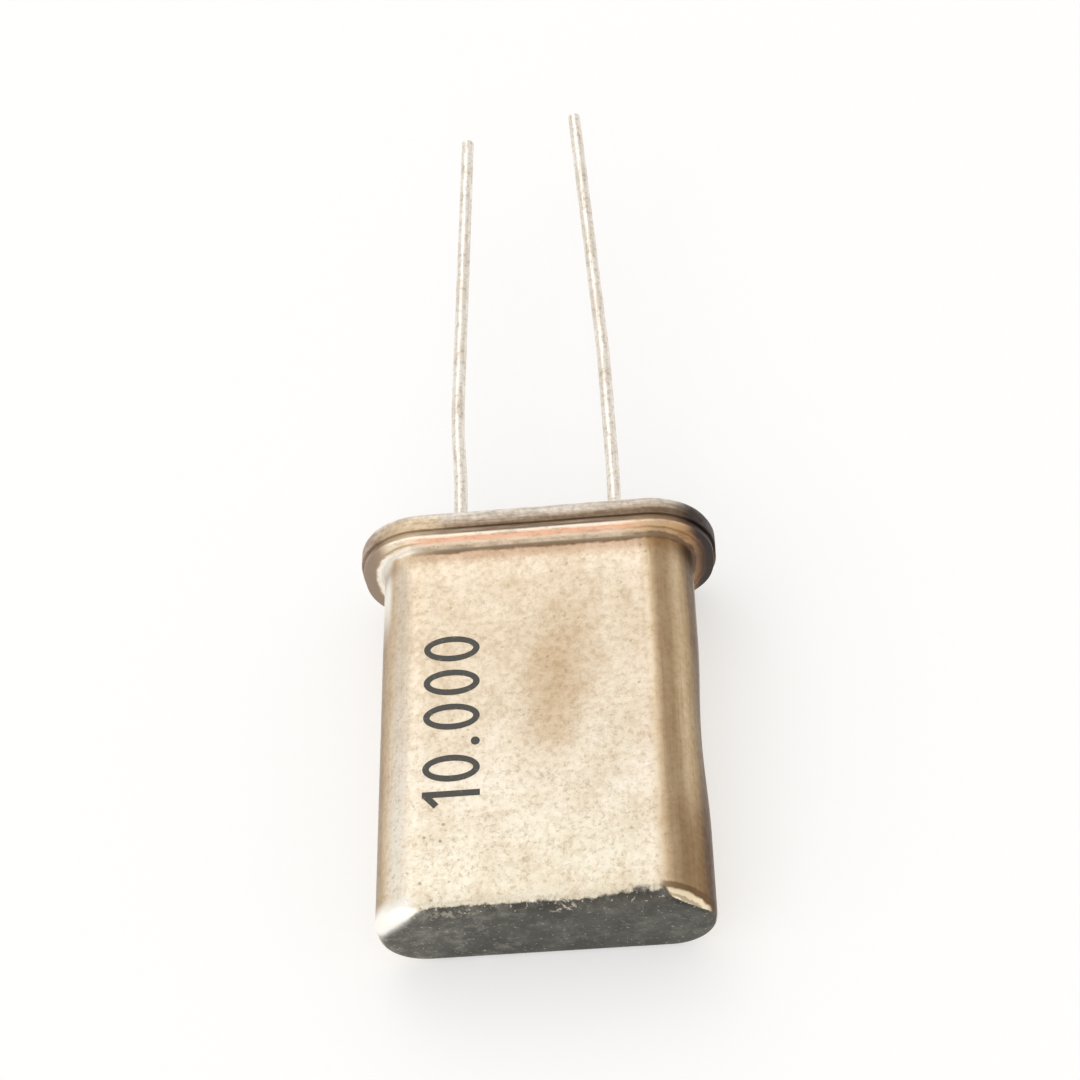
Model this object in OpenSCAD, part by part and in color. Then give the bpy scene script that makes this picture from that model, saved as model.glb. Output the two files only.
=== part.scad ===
// Quartz crystal unit with two wire leads, sealed in a resistance-welded metal can.
//
// Every piece is drawn as it stands on a circuit board: the board is at Z = 0, the
// can rises along +Z, the leads hang down, and the printed wide face looks along +Y.
// laid_down() then lays the whole unit on its back wide face. The can's closed end
// and the rim touch the surface, so the axis leans a few degrees. The leads end up
// pointing along +Y, the printed face looks up, and the origin is at the centre of
// the unit's footprint.

/* [Can] */
// Width of the can's body
can_width = 9.5; // [7.9:0.1:12]
// Thickness of the can's body, from one wide face to the other
can_thickness = 3.15; // [2.6:0.05:4]
// Height of the can, from the weld seam to the closed end
can_height = 12.4; // [10.3:0.1:16]
// Thickness of the can's sheet metal
can_wall = 0.25; // [0.2:0.01:0.3]
// Radius of the can's four long corners
can_corner_radius = 1.35; // [1:0.05:1.6]
// Radius of the edge round the closed end
can_end_radius = 0.35; // [0.3:0.05:0.7]

/* [Rim] */
// How far the header's rim stands out from the can
rim_reach = 0.75; // [0.6:0.05:1]
// Radius of the bend that turns the can's wall out into its weld flange
flange_bend_radius = 0.15; // [0.1:0.05:0.35]
// How far the can's weld flange stops short of the header's rim
flange_setback = 0.08; // [0.02:0.01:0.2]

/* [Header] */
// Thickness of the header's rim
header_rim_thickness = 0.7; // [0.5:0.05:1]
// Radius of the rim's edge on the side of the board
header_edge_radius = 0.35; // [0.15:0.05:0.45]
// Height of the boss that plugs the mouth of the can
boss_height = 0.45; // [0.3:0.05:0.8]
// Chamfer round the top of the boss
boss_chamfer = 0.12; // [0.05:0.01:0.2]
// Gap between the boss and the can's wall
boss_clearance = 0.05; // [0.02:0.01:0.1]

/* [Glass seals] */
// Diameter of each glass seal
seal_diameter = 1.5; // [1.2:0.05:1.6]
// How far the glass lies below the header's two faces
seal_recess = 0.1; // [0.05:0.01:0.2]
// How far the glass climbs the lead
seal_climb = 0.08; // [0.02:0.01:0.1]

/* [Leads] */
// Distance between the two leads at the header
lead_pitch = 4.88; // [3.8:0.02:5.9]
// Diameter of the lead wire
lead_diameter = 0.43; // [0.35:0.01:0.55]
// Length of the left lead below the header, along the wire
left_lead_length = 18.1; // [10:0.1:24]
// Length of the right lead below the header, along the wire
right_lead_length = 19; // [10:0.1:24]
// Straight stretch of each lead next to the header
lead_stub_length = 2; // [1:0.1:3]
// Straight stretch of the left and the right lead between their two bends
lead_middle_lengths = [0.8, 4.5]; // [0.5:0.1:5]
// Angles of the left lead's two bends, towards the other lead where positive
left_lead_bends = [-3, 4.4]; // [-6:0.1:6]
// Angles of the right lead's two bends, towards the other lead where positive
right_lead_bends = [1.5, 1.9]; // [-6:0.1:6]
// Radius of the bends, at the middle of the wire
lead_bend_radius = 25; // [5:1:30]
// How much thinner the wire is in its bends
lead_bend_thinning = 0.004; // [0.002:0.001:0.01]
// Bevel that the cutters left on the end of each lead
lead_tip_bevel = 0.06; // [0.02:0.01:0.1]
// Diameter of the flat head on the inner end of each lead
lead_head_diameter = 0.8; // [0.6:0.05:1.1]
// Thickness of that head
lead_head_thickness = 0.15; // [0.1:0.01:0.25]
// Height of the head's top above the boss
lead_head_height = 0.6; // [0.4:0.05:1]

/* [Spring clips] */
// Thickness of the clip's strip
clip_thickness = 0.15; // [0.1:0.01:0.2]
// Width of the clip's strip
clip_width = 1.2; // [0.8:0.05:1.4]
// Radius inside the clip's bend
clip_bend_radius = 0.2; // [0.1:0.05:0.4]
// How far the clip's foot runs past the middle of the lead
clip_foot_overlap = 0.5; // [0.3:0.05:0.8]
// How far the blank's edge passes into the clip's leg
clip_bite = 0.2; // [0.18:0.01:0.3]
// Gap between the blank and each side of the slot that takes it
slot_side_clearance = 0.06; // [0.03:0.01:0.1]
// Gap between the blank's edge and each end of the slot
slot_end_clearance = 0.15; // [0.05:0.01:0.3]
// Metal left above the slot
clip_tip_length = 0.6; // [0.3:0.05:1]

/* [Quartz blank] */
// Gap between the blank and the can's side walls
blank_side_gap = 0.5; // [0.4:0.05:1]
// Gap between the blank and the can's closed end
blank_end_gap = 1; // [0.6:0.1:1.3]
// Thickness of the blank, which sets the frequency
blank_thickness = 0.226; // [0.1:0.002:0.5]
// Diameter of the silver spot in the middle of each face
electrode_diameter = 4.6; // [3:0.1:5]
// Width of the tab that joins the spot to the blank's edge
electrode_tab_width = 1.2; // [0.6:0.1:1.6]
// Thickness of the silver film
electrode_thickness = 0.02; // [0.01:0.01:0.05]
// Radius of the bead of silver cement that holds the blank in each clip
bead_radius = 0.45; // [0.35:0.05:0.45]

/* [Hidden] */
$fn = 96;

// The left pieces are drawn on the side of -X, and the right pieces on +X.
left = -1;
right = 1;
// Cuts run this far past the faces that they open.
overshoot = 0.1;
// Straight wire laps this far over the ends of the bends next to it.
lap = 0.05;

// The long corners keep a flat strip of at least this width between them.
least_side_flat = 0.04;
long_corner_radius = min(can_corner_radius, (can_thickness - least_side_flat) / 2);

// The inside of the closed end's edge is never quite sharp.
least_inner_radius = 0.05;
inner_end_radius = max(can_end_radius - can_wall, least_inner_radius);

// The can's flange is the same sheet as its wall.
flange_reach = rim_reach - flange_setback;
flare_radius = flange_bend_radius + can_wall;
rim_width = can_width + 2 * rim_reach;
rim_thickness = can_thickness + 2 * rim_reach;
rim_corner_radius = long_corner_radius + rim_reach;

// Heights above the board
boss_top = header_rim_thickness + boss_height;
clip_foot_z = boss_top + lead_head_height;
can_top = header_rim_thickness + can_height;
blank_radius = can_width / 2 - can_wall - blank_side_gap;
blank_centre_z = can_top - can_wall - blank_end_gap - blank_radius;

// The clip's leg straddles the blank's edge, along the chord that the edge cuts.
leg_inner_x = blank_radius - clip_bite;
leg_outer_x = leg_inner_x + clip_thickness;
slot_half_length = sqrt(pow(blank_radius, 2) - pow(leg_inner_x, 2)) + slot_end_clearance;
slot_width = blank_thickness + 2 * electrode_thickness + 2 * slot_side_clearance;

// Lengths of the straight runs of each lead, from the header to the tip
left_lead_runs = lead_runs(left_lead_length, lead_middle_lengths[0], left_lead_bends);
right_lead_runs = lead_runs(right_lead_length, lead_middle_lengths[1], right_lead_bends);

// The unit rests on the rim's corner next to the can and on the closed end's round
// edge. The lean is the angle of the line that touches both.
rest_span = can_top - can_end_radius - header_rim_thickness;
rest_rise = rim_thickness / 2 - (can_thickness / 2 - can_end_radius);
rest_lean = atan2(rest_rise, rest_span) - asin(can_end_radius / norm([rest_span, rest_rise]));
rest_lift = rim_thickness / 2 * cos(rest_lean) + header_rim_thickness * sin(rest_lean);

// Reach of the laid unit from the board plane to its two ends
closed_end_reach = (can_top - can_end_radius) * cos(rest_lean)
    + (can_thickness / 2 - can_end_radius) * sin(rest_lean) + can_end_radius;
lead_reach = cos(rest_lean) * max(
    lead_depth(left_lead_runs, left_lead_bends),
    lead_depth(right_lead_runs, right_lead_bends)
);

function arc_length(angle) = lead_bend_radius * abs(angle) * PI / 180;

function lead_runs(length, middle, bends) = [
    lead_stub_length,
    middle,
    length - lead_stub_length - middle - arc_length(bends[0]) - arc_length(bends[1])
];

// Depth that a lead reaches below the header, from run i on
function lead_depth(runs, bends, heading = 0, i = 0) =
    runs[i] * cos(heading) + (
        i == len(bends) ? 0 :
        lead_bend_radius * abs(sin(heading + bends[i]) - sin(heading))
            + lead_depth(runs, bends, heading + bends[i], i + 1)
    );

module laid_down() {
    translate([0, (closed_end_reach - lead_reach) / 2, rest_lift])
        rotate([90 + rest_lean, 0, 0])
            children();
}

// Fills a rectangle with round corners. The profile's X runs outwards from the
// centres of the corners, and its Y becomes Z.
module swept_round(width, thickness, corner_radius) {
    half_x = width / 2 - corner_radius;
    half_y = thickness / 2 - corner_radius;
    for (quarter = [0:3]) {
        side_x = quarter % 2 == 0 ? half_x : half_y;
        side_y = quarter % 2 == 0 ? half_y : half_x;
        rotate(90 * quarter)
            translate([side_x, side_y, 0]) {
                rotate_extrude(angle = 90)
                    children();
                rotate([90, 0, 0])
                    linear_extrude(2 * side_y)
                        children();
            }
    }
}

// The middle block that swept_round leaves open, from one height to another
module core_block(width, thickness, corner_radius, bottom, top) {
    translate([corner_radius - width / 2, corner_radius - thickness / 2, bottom])
        cube([width - 2 * corner_radius, thickness - 2 * corner_radius, top - bottom]);
}

// A bar with one round corner, at its outer top
module round_shouldered(reach, bottom, top, radius) {
    translate([0, bottom])
        square([reach, top - radius - bottom]);
    translate([0, bottom])
        square([reach - radius, top - bottom]);
    translate([reach - radius, top - radius])
        circle(radius);
}

module can_profile() {
    difference() {
        round_shouldered(long_corner_radius, header_rim_thickness, can_top, can_end_radius);
        round_shouldered(
            long_corner_radius - can_wall,
            header_rim_thickness - overshoot,
            can_top - can_wall,
            inner_end_radius
        );
        // The mouth flares along the inside of the bend.
        translate([long_corner_radius - can_wall - overshoot, header_rim_thickness - overshoot])
            square([can_wall + 2 * overshoot, flare_radius + overshoot]);
    }
    // The bend from the wall into the flange
    translate([long_corner_radius + flange_bend_radius, header_rim_thickness + flare_radius])
        difference() {
            circle(flare_radius);
            circle(flange_bend_radius);
            translate([0, -2 * flare_radius])
                square([2 * flare_radius, 4 * flare_radius]);
            translate([-2 * flare_radius, 0])
                square([4 * flare_radius, 2 * flare_radius]);
        }
    translate([long_corner_radius + flange_bend_radius, header_rim_thickness])
        square([flange_reach - flange_bend_radius, can_wall]);
}

module can() {
    color([0.83, 0.77, 0.65])
        laid_down() {
            swept_round(can_width, can_thickness, long_corner_radius)
                can_profile();
            core_block(can_width, can_thickness, long_corner_radius, can_top - can_wall, can_top);
        }
}

module header_rim_profile() {
    mirror([0, 1])
        round_shouldered(rim_corner_radius, -header_rim_thickness, 0, header_edge_radius);
}

module boss_profile() {
    reach = long_corner_radius - can_wall - boss_clearance;
    polygon([
        [0, header_rim_thickness],
        [reach, header_rim_thickness],
        [reach, boss_top - boss_chamfer],
        [reach - boss_chamfer, boss_top],
        [0, boss_top]
    ]);
}

module header() {
    color([0.62, 0.58, 0.53])
        laid_down()
            difference() {
                union() {
                    swept_round(rim_width, rim_thickness, rim_corner_radius)
                        header_rim_profile();
                    swept_round(
                        can_width - 2 * (can_wall + boss_clearance),
                        can_thickness - 2 * (can_wall + boss_clearance),
                        long_corner_radius - can_wall - boss_clearance
                    )
                        boss_profile();
                    core_block(can_width, can_thickness, long_corner_radius, 0, boss_top);
                }
                for (side = [left, right])
                    translate([side * lead_pitch / 2, 0, -overshoot])
                        cylinder(h = boss_top + 2 * overshoot, d = seal_diameter);
            }
}

module glass_seal(side) {
    wire = lead_diameter / 2;
    bottom = seal_recess;
    top = boss_top - seal_recess;
    color([0.16, 0.22, 0.2])
        laid_down()
            translate([side * lead_pitch / 2, 0, 0])
                rotate_extrude()
                    polygon([
                        [wire, bottom - seal_climb],
                        [wire + seal_climb, bottom],
                        [seal_diameter / 2, bottom],
                        [seal_diameter / 2, top],
                        [wire + seal_climb, top],
                        [wire, top + seal_climb]
                    ]);
}

module left_glass_seal() {
    glass_seal(left);
}

module right_glass_seal() {
    glass_seal(right);
}

// Turns what is drawn towards +X so that it faces -X, where the angle is negative
module facing(angle) {
    rotate(angle < 0 ? 180 : 0)
        children();
}

// A bend that starts heading down and turns towards +X where the angle is positive
module lead_bend(angle) {
    facing(angle)
        translate([lead_bend_radius, 0, 0])
            rotate([90, 180, 0])
                rotate_extrude(angle = abs(angle))
                    translate([lead_bend_radius, 0])
                        circle(d = lead_diameter - lead_bend_thinning);
}

// Places what follows a bend at the bend's end
module past_bend(angle) {
    turn = abs(angle);
    facing(angle)
        translate([lead_bend_radius * (1 - cos(turn)), 0, -lead_bend_radius * sin(turn)])
            rotate([0, -turn, 0])
                facing(angle)
                    children();
}

// A lead from run i to its tip, heading down
module lead_from(runs, bends, i = 0) {
    is_first = i == 0;
    is_last = i == len(bends);
    top = is_first ? 0 : lap;
    bottom = is_last ? lead_tip_bevel - runs[i] : -runs[i] - lap;
    translate([0, 0, bottom])
        cylinder(h = top - bottom, d = lead_diameter);
    translate([0, 0, -runs[i]])
        if (is_last)
            cylinder(h = lead_tip_bevel, d1 = lead_diameter - 2 * lead_tip_bevel, d2 = lead_diameter);
        else {
            lead_bend(bends[i]);
            past_bend(bends[i])
                lead_from(runs, bends, i + 1);
        }
}

module lead(side, runs, bends) {
    color([0.86, 0.85, 0.82])
        laid_down()
            facing(-side)
                translate([-lead_pitch / 2, 0, 0]) {
                    lead_from(runs, bends);
                    cylinder(h = clip_foot_z, d = lead_diameter);
                    translate([0, 0, clip_foot_z - lead_head_thickness])
                        cylinder(h = lead_head_thickness, d = lead_head_diameter);
                }
}

module left_lead() {
    lead(left, left_lead_runs, left_lead_bends);
}

module right_lead() {
    lead(right, right_lead_runs, right_lead_bends);
}

// The strip seen from the side: a foot on the lead's head, a bend and a leg
module clip_outline() {
    outer_radius = clip_bend_radius + clip_thickness;
    bend_x = leg_inner_x - clip_bend_radius;
    bend_z = clip_foot_z + outer_radius;
    foot_start = lead_pitch / 2 - clip_foot_overlap;
    translate([foot_start, clip_foot_z])
        square([bend_x - foot_start, clip_thickness]);
    translate([leg_inner_x, bend_z])
        square([clip_thickness, blank_centre_z + slot_half_length + clip_tip_length - bend_z]);
    translate([bend_x, bend_z])
        difference() {
            circle(outer_radius);
            circle(clip_bend_radius);
            translate([-2 * outer_radius, -2 * outer_radius])
                square([2 * outer_radius, 4 * outer_radius]);
            translate([-2 * outer_radius, 0])
                square([4 * outer_radius, 2 * outer_radius]);
        }
}

module clip_standing(side) {
    mirror([side == left ? 1 : 0, 0, 0])
        difference() {
            rotate([90, 0, 0])
                linear_extrude(clip_width, center = true)
                    clip_outline();
            translate([leg_inner_x - overshoot, -slot_width / 2, blank_centre_z - slot_half_length])
                cube([clip_thickness + 2 * overshoot, slot_width, 2 * slot_half_length]);
        }
}

module spring_clip(side) {
    color([0.72, 0.7, 0.64])
        laid_down()
            clip_standing(side);
}

module left_spring_clip() {
    spring_clip(left);
}

module right_spring_clip() {
    spring_clip(right);
}

// A layer parallel to the blank's faces, from one distance behind its middle to another
module blank_layer(from_y, to_y) {
    translate([0, to_y, blank_centre_z])
        rotate([90, 0, 0])
            linear_extrude(to_y - from_y)
                children();
}

module blank_standing() {
    blank_layer(-blank_thickness / 2, blank_thickness / 2)
        circle(blank_radius);
}

module quartz_blank() {
    color([0.85, 0.9, 0.92])
        laid_down()
            blank_standing();
}

// The silver spot with its tab, which runs to the blank's edge
module electrode_outline(side) {
    circle(d = electrode_diameter);
    intersection() {
        circle(blank_radius);
        mirror([side == left ? 1 : 0, 0])
            translate([0, -electrode_tab_width / 2])
                square([blank_radius, electrode_tab_width]);
    }
}

module front_film() {
    blank_layer(blank_thickness / 2, blank_thickness / 2 + electrode_thickness)
        electrode_outline(right);
}

module rear_film() {
    blank_layer(-blank_thickness / 2 - electrode_thickness, -blank_thickness / 2)
        electrode_outline(left);
}

module front_electrode() {
    color([0.88, 0.88, 0.86])
        laid_down()
            front_film();
}

module rear_electrode() {
    color([0.88, 0.88, 0.86])
        laid_down()
            rear_film();
}

// Cement on both faces of the blank and on both sides of the leg, joined through the slot
module cement_bead(side) {
    color([0.55, 0.55, 0.55])
        laid_down()
            difference() {
                translate([side * (leg_inner_x + leg_outer_x) / 2, 0, blank_centre_z])
                    sphere(bead_radius);
                clip_standing(side);
                blank_standing();
                front_film();
                rear_film();
            }
}

module left_cement_bead() {
    cement_bead(left);
}

module right_cement_bead() {
    cement_bead(right);
}

can();
header();
left_glass_seal();
right_glass_seal();
left_lead();
right_lead();
left_spring_clip();
right_spring_clip();
quartz_blank();
front_electrode();
rear_electrode();
left_cement_bead();
right_cement_bead();
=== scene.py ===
import bmesh
import bpy
from math import asin, atan2, cos, hypot, pi, radians, sin
from mathutils import Matrix, Vector, noise


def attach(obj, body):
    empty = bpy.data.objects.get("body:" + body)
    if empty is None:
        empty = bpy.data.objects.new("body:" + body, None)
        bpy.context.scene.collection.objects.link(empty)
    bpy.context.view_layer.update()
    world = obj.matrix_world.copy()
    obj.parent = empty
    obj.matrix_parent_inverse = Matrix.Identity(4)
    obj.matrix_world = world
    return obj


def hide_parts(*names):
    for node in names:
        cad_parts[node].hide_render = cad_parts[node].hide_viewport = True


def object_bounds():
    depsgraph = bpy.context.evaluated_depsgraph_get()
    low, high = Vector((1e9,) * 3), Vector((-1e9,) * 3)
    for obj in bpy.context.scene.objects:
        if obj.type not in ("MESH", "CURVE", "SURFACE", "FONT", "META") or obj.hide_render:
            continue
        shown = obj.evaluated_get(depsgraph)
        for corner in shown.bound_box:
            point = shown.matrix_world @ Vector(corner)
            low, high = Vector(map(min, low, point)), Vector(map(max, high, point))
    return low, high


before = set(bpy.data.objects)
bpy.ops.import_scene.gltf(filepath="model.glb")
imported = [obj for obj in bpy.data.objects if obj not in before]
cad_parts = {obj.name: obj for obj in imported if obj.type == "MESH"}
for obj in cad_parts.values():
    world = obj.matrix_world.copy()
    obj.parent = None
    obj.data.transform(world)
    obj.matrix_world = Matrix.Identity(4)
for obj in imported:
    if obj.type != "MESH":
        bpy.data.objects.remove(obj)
cadLow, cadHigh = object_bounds()

# Pieces are drawn in millimetres as the crystal stands on a board: the board at z = 0, the can
# upwards, the printed face towards +y. layDown then puts them on the floor, in metres.
millimetre = 0.001


def linear(code):
    # a colour written as on a paint card, such as "f0e1c6", in the values that nodes work in
    parts = [int(code[i:i + 2], 16) / 255 for i in (0, 2, 4)]
    return tuple(p / 12.92 if p <= 0.04045 else ((p + 0.055) / 1.055) ** 2.4 for p in parts) + (1,)


def addNode(tree, kind, sockets, **settings):
    made = tree.nodes.new("ShaderNode" + kind)
    for name, value in settings.items():
        setattr(made, name, value)
    for name, value in sockets.items():
        if isinstance(value, bpy.types.NodeSocket):
            tree.links.new(value, made.inputs[name])
        else:
            made.inputs[name].default_value = value
    return made


def calc(tree, operation, first, second=0.0):
    return addNode(tree, "Math", {0: first, 1: second}, operation=operation).outputs[0]


def product(tree, first, *others):
    for other in others:
        first = calc(tree, "MULTIPLY", first, other)
    return first


def total(tree, first, *others):
    for other in others:
        first = calc(tree, "ADD", first, other)
    return first


def shaken(tree, value, grain, amount):
    # a value pushed to and fro by a grain
    return total(tree, value, product(tree, total(tree, grain, -0.5), amount))


def fade(tree, value, start, end, low=0.0, high=1.0):
    # runs smoothly from low at start to high at end
    return addNode(tree, "MapRange", {"Value": value, "From Min": start, "From Max": end,
                                      "To Min": low, "To Max": high},
                   interpolation_type="SMOOTHSTEP").outputs["Result"]


def between(tree, value, low, high, soft):
    return product(tree, fade(tree, value, low, low + soft), fade(tree, value, high, high - soft))


def bands(tree, value, stops):
    # colours at places along a value, such as {3.2: "f0e1c6", 4.7: "5f4838"}
    places = sorted(stops)
    low, high = places[0], places[-1]
    along = addNode(tree, "MapRange", {"Value": value, "From Min": low, "From Max": high})
    ramp = addNode(tree, "ValToRGB", {"Fac": along.outputs["Result"]})
    marks = ramp.color_ramp.elements
    marks[0].position, marks[0].color = 0.0, linear(stops[low])
    marks[1].position, marks[1].color = 1.0, linear(stops[high])
    for place in places[1:-1]:
        mark = marks.new((place - low) / (high - low))
        mark.color = linear(stops[place])
    return ramp.outputs["Color"]


def speckle(tree, space, scale, detail=2.0, roughness=0.5, stretch=(1, 1, 1)):
    # noise in millimetres of the standing crystal; stretch squeezes it along each axis
    squeezed = addNode(tree, "VectorMath", {0: space, 1: stretch}, operation="MULTIPLY")
    return addNode(tree, "TexNoise", {"Vector": squeezed.outputs[0], "Scale": scale,
                                      "Detail": detail, "Roughness": roughness}).outputs["Fac"]


def zone(tree, axes, where, *factors):
    # where gives spans of axes or grains: (start, end) fades in from 0 to 1, (start, end, low,
    # high) from low to high, and (start, end, soft) is 1 between the two
    levels = [between(tree, axes[name], *span) if len(span) == 3 else fade(tree, axes[name], *span)
              for name, span in where.items()]
    return product(tree, *levels, *factors)


def paint(tree, axes, layer):
    # a layer has a colour, plain or in bands along an axis, and marks laid over it in turn; a
    # mark is a layer too, which covers (colour) or tints (stain) what is under it, as far as its
    # zones (where), its strength and an axis (by) let it; level brightens or darkens a colour
    colour = layer.get("stain") or layer["colour"]
    if isinstance(colour, dict):
        (axis, stops), = colour.items()
        colour = bands(tree, axes[axis], stops)
    elif "level" in layer:
        colour = addNode(tree, "VectorMath", {
            0: linear(colour)[:3], "Scale": zone(tree, axes, layer["level"])},
            operation="SCALE").outputs[0]
    else:
        colour = linear(colour)
    for mark in layer.get("marks", {}).values():
        by = [axes[mark["by"]]] if "by" in mark else []
        reach = zone(tree, axes, mark.get("where", {}), mark.get("strength", 1.0), *by)
        blend = "MULTIPLY" if "stain" in mark else "MIX"
        colour = addNode(tree, "Mix", {0: reach, 6: colour, 7: paint(tree, axes, mark)},
                         data_type="RGBA", blend_type=blend).outputs[2]
    return colour


def makeMaterial(name, finish, measure=None):
    # measure adds axes of the piece's own to x, y, z and the grains, all in standing millimetres;
    # a socket of the shader gets a plain value, or a list of zones that add up
    material = bpy.data.materials.new(name)
    material.use_nodes = True
    tree = material.node_tree
    shader = tree.nodes["Principled BSDF"]
    place = addNode(tree, "TexCoord", {}).outputs["Object"]
    standing = addNode(tree, "Mapping", {
        "Vector": place, "Location": (0, shift * millimetre, lift * millimetre),
        "Rotation": (turnDown, 0, 0), "Scale": (millimetre,) * 3}, vector_type="TEXTURE")
    space = standing.outputs["Vector"]
    parts = addNode(tree, "SeparateXYZ", {"Vector": space}).outputs
    axes = {"x": parts["X"], "y": parts["Y"], "z": parts["Z"]}
    for grain, numbers in finish["grains"].items():
        axes[grain] = speckle(tree, space, *numbers)
    if measure:
        measure(tree, space, axes)

    tree.links.new(paint(tree, axes, finish["paint"]), shader.inputs["Base Color"])
    for socket, value in finish["shader"].items():
        if isinstance(value, list):
            level = total(tree, *[zone(tree, axes, where) for where in value])
            tree.links.new(level, shader.inputs[socket])
        else:
            shader.inputs[socket].default_value = value
    relief = total(tree, *[product(tree, axes[grain], weight)
                           for grain, weight in finish["relief"].items()])
    bump = addNode(tree, "Bump", {"Height": relief, "Strength": 1.0,
                                  "Distance": finish["reliefDepth"] * millimetre})
    tree.links.new(bump.outputs["Normal"], shader.inputs["Normal"])
    return material


near = {"point": 0.0005, "height": 0.001}  # how near counts as the same, in millimetres


def onlyOf(kind, geom):
    return [part for part in geom if isinstance(part, kind)]


def drawPoint(mesh, start, x, z):
    # one more point on a profile, joined to the last
    made = bmesh.ops.extrude_vert_indiv(mesh, verts=[start])["verts"][0]
    made.co = (x, start.co.y, z)
    return made


def drawLine(mesh, start, x, z, steps):
    fromX, _, fromZ = start.co
    for step in range(1, steps + 1):
        start = drawPoint(mesh, start, fromX + (x - fromX) * step / steps,
                          fromZ + (z - fromZ) * step / steps)
    return start


def drawBend(mesh, start, centreX, centreZ, angle, steps):
    # a round bend on a profile, seen from -y; positive turns from +z towards +x
    made = bmesh.ops.spin(mesh, geom=[start], cent=(centreX, start.co.y, centreZ), axis=(0, 1, 0),
                          angle=radians(angle), steps=steps, use_merge=False)
    return onlyOf(bmesh.types.BMVert, made["geom_last"])[0]


def pullOut(mesh, loop, move):
    # extrudes a loop of edges and gives the new loop, edges and points
    made = bmesh.ops.extrude_edge_only(mesh, edges=onlyOf(bmesh.types.BMEdge, loop))["geom"]
    verts = onlyOf(bmesh.types.BMVert, made)
    bmesh.ops.translate(mesh, verts=verts, vec=move)
    return onlyOf(bmesh.types.BMEdge, made) + verts


def sweepRound(mesh):
    # carries the profile round the can's outline, corner by corner and side by side
    loop = mesh.verts[:] + mesh.edges[:]
    corners = [Vector((cornerX, cornerY, 0)), Vector((-cornerX, cornerY, 0)),
               Vector((-cornerX, -cornerY, 0)), Vector((cornerX, -cornerY, 0))]
    for turn, corner in enumerate(corners):
        loop = bmesh.ops.spin(mesh, geom=loop, cent=corner, axis=(0, 0, 1), angle=radians(90),
                              steps=can["cornerSteps"], use_merge=False)["geom_last"]
        steps = can["longSteps"] if turn % 2 == 0 else can["shortSteps"]
        for step in range(steps):
            loop = pullOut(mesh, loop, (corners[(turn + 1) % 4] - corner) / steps)
    bmesh.ops.remove_doubles(mesh, verts=mesh.verts, dist=near["point"])


def openEdges(mesh, height):
    return [e for e in mesh.edges
            if e.is_boundary and all(abs(v.co.z - height) < near["height"] for v in e.verts)]


def ripple(point, scale, seed):
    return noise.noise(Vector(point) * scale + Vector((seed, seed, seed)))


def finishPiece(name, mesh, node, material, sharpAngle=35):
    bmesh.ops.recalc_face_normals(mesh, faces=mesh.faces)
    mesh.transform(layDown)
    data = bpy.data.meshes.new(name)
    mesh.to_mesh(data)
    mesh.free()
    data.shade_smooth()
    data.set_sharp_from_angle(angle=radians(sharpAngle))
    data.materials.append(material)
    piece = bpy.data.objects.new(name, data)
    bpy.context.scene.collection.objects.link(piece)
    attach(piece, "root")
    if node:
        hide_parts(node)
    print("made", name, len(data.polygons), "faces")


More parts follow.
